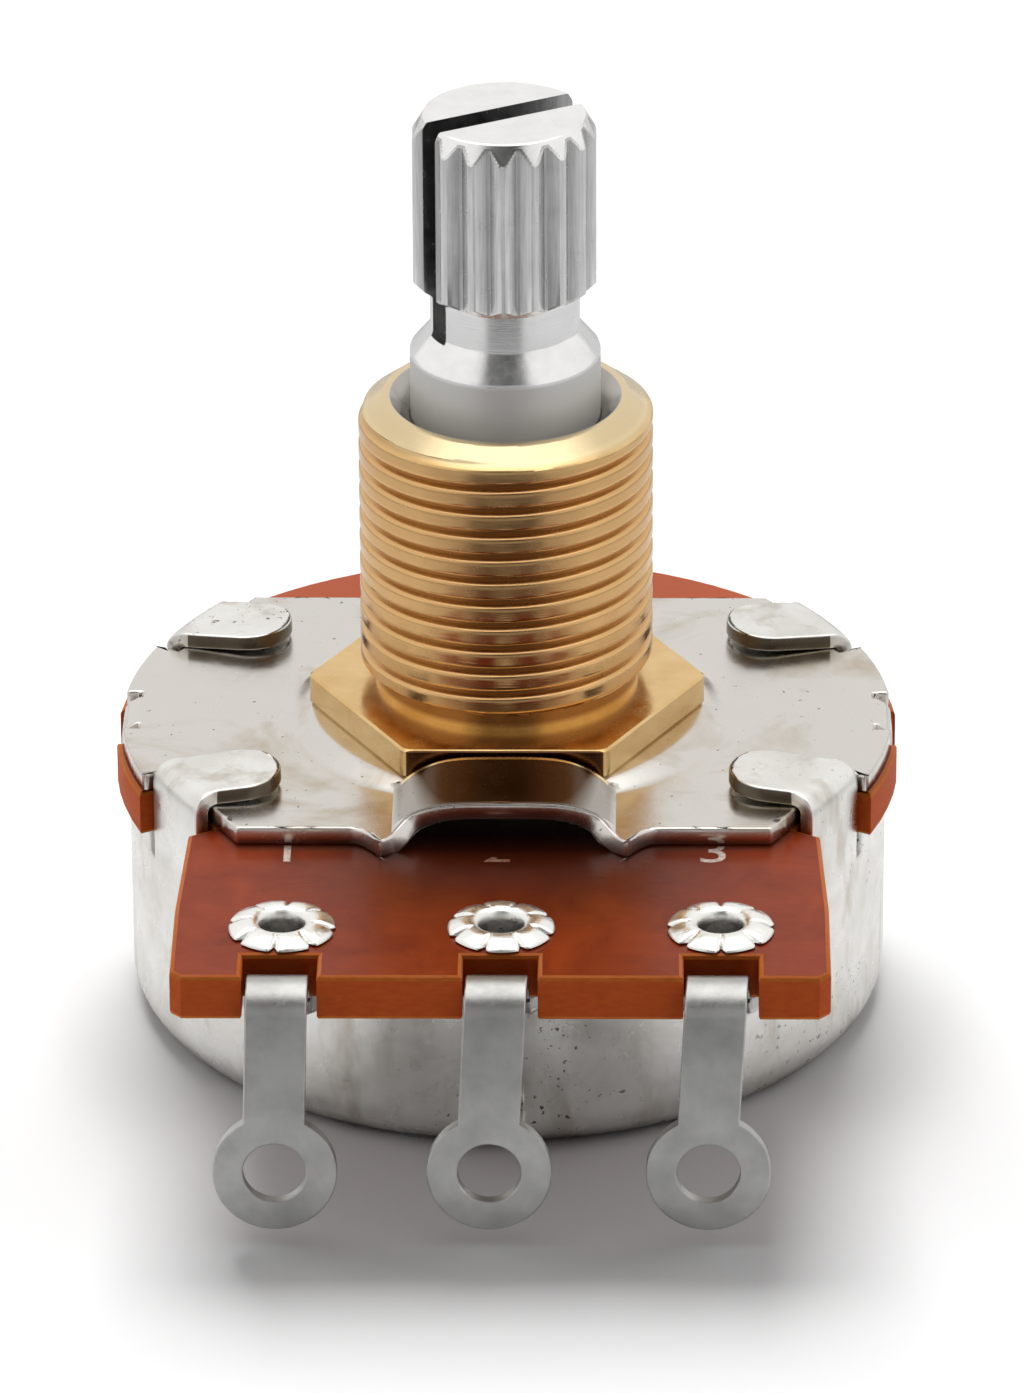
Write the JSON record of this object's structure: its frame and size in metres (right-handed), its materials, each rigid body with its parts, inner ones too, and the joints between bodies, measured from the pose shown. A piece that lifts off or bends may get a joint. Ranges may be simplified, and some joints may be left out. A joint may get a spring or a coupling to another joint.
{
  "type": "rotary potentiometer",
  "caption": "Panel-mount rotary potentiometer with a split splined shaft, a threaded brass bushing, a tabbed metal can and solder lugs on a phenolic wafer.",
  "frame": {"origin": "on the shaft axis, on the flat underside of the can", "axes": "+Z along the shaft toward its splined end, -Y toward the solder lugs, +X to the right seen from the lugs"},
  "size_m": [0.0248, 0.0306, 0.0302],
  "materials": {
    "tinned_can": "tin plated, satin, with stains and specks",
    "phenolic": "satin brown phenolic sheet",
    "carbon_film": "matt printed carbon",
    "silver_film": "printed silver",
    "bright_tin": "bright tin",
    "dull_tin": "dull tin",
    "nickel_plate": "semi-bright nickel",
    "turned_brass": "turned brass",
    "plated_shaft": "bright turned and plated",
    "spring_steel": "plain spring steel",
    "spring_bronze": "rolled bronze",
    "moulded_rotor": "moulded black"
  },
  "bodies": {
    "housing": {"rear_can": "tinned_can", "wafer": "phenolic", "carbon_track": "carbon_film", "left_silver_pad": "silver_film", "right_silver_pad": "silver_film", "collector_ring": "silver_film", "left_eyelet": "bright_tin", "middle_eyelet": "bright_tin", "right_eyelet": "bright_tin", "left_lug": "dull_tin", "middle_lug": "dull_tin", "right_lug": "dull_tin", "front_plate": "nickel_plate", "bushing": "turned_brass"},
    "shaft_group": {"shaft": "plated_shaft", "retaining_ring": "spring_steel", "friction_washer": "spring_bronze", "rotor": "moulded_rotor", "wiper_contact": "spring_bronze", "stop_plate": "spring_steel"}
  },
  "joints": [
    {"name": "shaft_turn", "type": "hinge", "parent": "housing", "child": "shaft_group", "pos_m": [0, 0, 0], "axis": [0, 0, 1], "range_deg": [-150, 150]}
  ]
}
